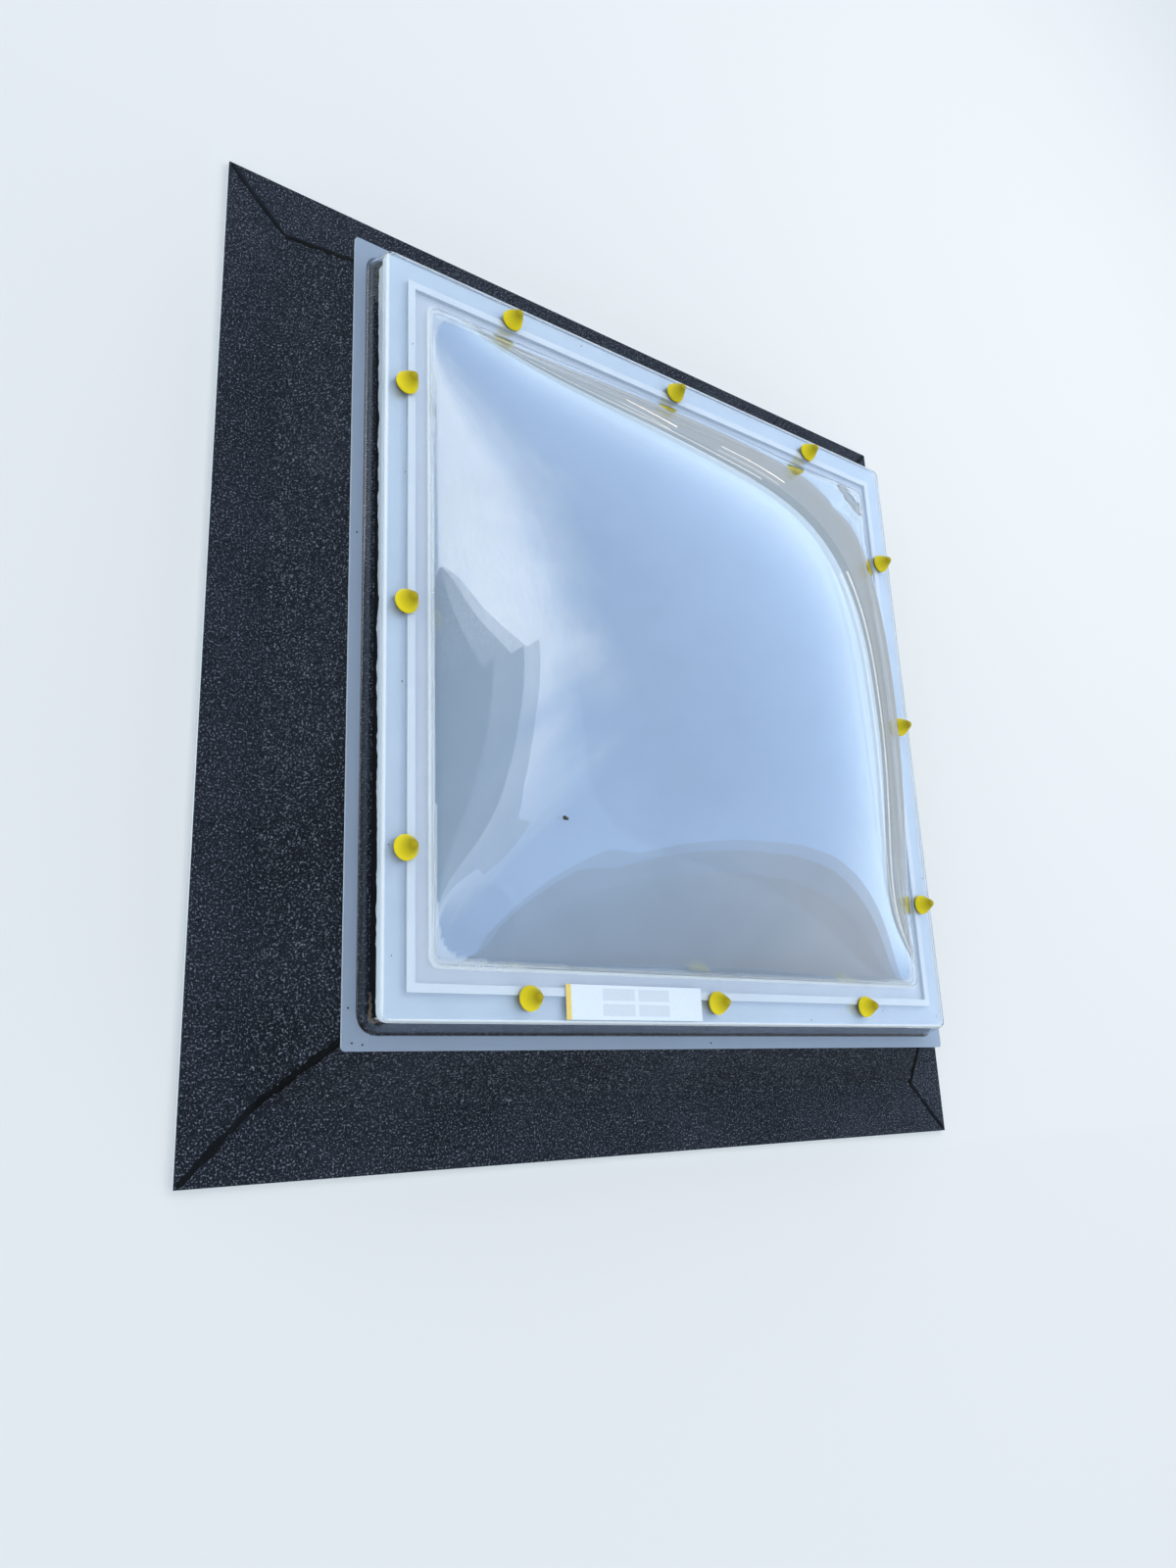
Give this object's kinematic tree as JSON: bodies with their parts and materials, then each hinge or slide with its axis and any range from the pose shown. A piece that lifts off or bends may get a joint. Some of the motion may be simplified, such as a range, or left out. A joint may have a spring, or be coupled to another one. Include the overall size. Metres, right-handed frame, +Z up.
{
  "type": "flat-roof dome skylight",
  "caption": "Fixed dome skylight for a flat roof: a triple-skin blown acrylic dome with drip lip on a sloping, felt-covered insulated kerb.",
  "frame": {"origin": "centre of the kerb's underside, on the roof deck", "axes": "+Z up through the dome; X and Y along the sides, with -Y the front side that faces the viewer"},
  "size_m": [1.542, 1.542, 0.3961],
  "materials": {
    "clear_acrylic": "clear, glossy",
    "opal_acrylic": "opal white, glossy",
    "kerb_polyester": "white gelcoat",
    "roofing_felt": "mineral granules, dark grey",
    "foam_tape": "closed-cell foam, white",
    "cap_plastic": "yellow, satin",
    "washer_rubber": "black, matt",
    "screw_steel": "stainless"
  },
  "bodies": {
    "root": {"kerb": "kerb_polyester", "felt_left": "roofing_felt", "felt_right": "roofing_felt", "felt_front": "roofing_felt", "felt_back": "roofing_felt", "inner_dome": "opal_acrylic", "middle_dome": "clear_acrylic", "outer_dome": "clear_acrylic", "lower_tape_left": "foam_tape", "lower_tape_right": "foam_tape", "lower_tape_front": "foam_tape", "lower_tape_back": "foam_tape", "middle_tape_left": "foam_tape", "middle_tape_right": "foam_tape", "middle_tape_front": "foam_tape", "middle_tape_back": "foam_tape", "upper_tape_left": "foam_tape", "upper_tape_right": "foam_tape", "upper_tape_front": "foam_tape", "upper_tape_back": "foam_tape", "fixing_screws": "screw_steel", "sealing_washers": "washer_rubber", "screw_cap_1": "cap_plastic", "screw_cap_2": "cap_plastic", "screw_cap_3": "cap_plastic", "screw_cap_4": "cap_plastic", "screw_cap_5": "cap_plastic", "screw_cap_6": "cap_plastic", "screw_cap_7": "cap_plastic", "screw_cap_8": "cap_plastic", "screw_cap_9": "cap_plastic", "screw_cap_10": "cap_plastic", "screw_cap_11": "cap_plastic", "screw_cap_12": "cap_plastic"}
  },
  "joints": []
}
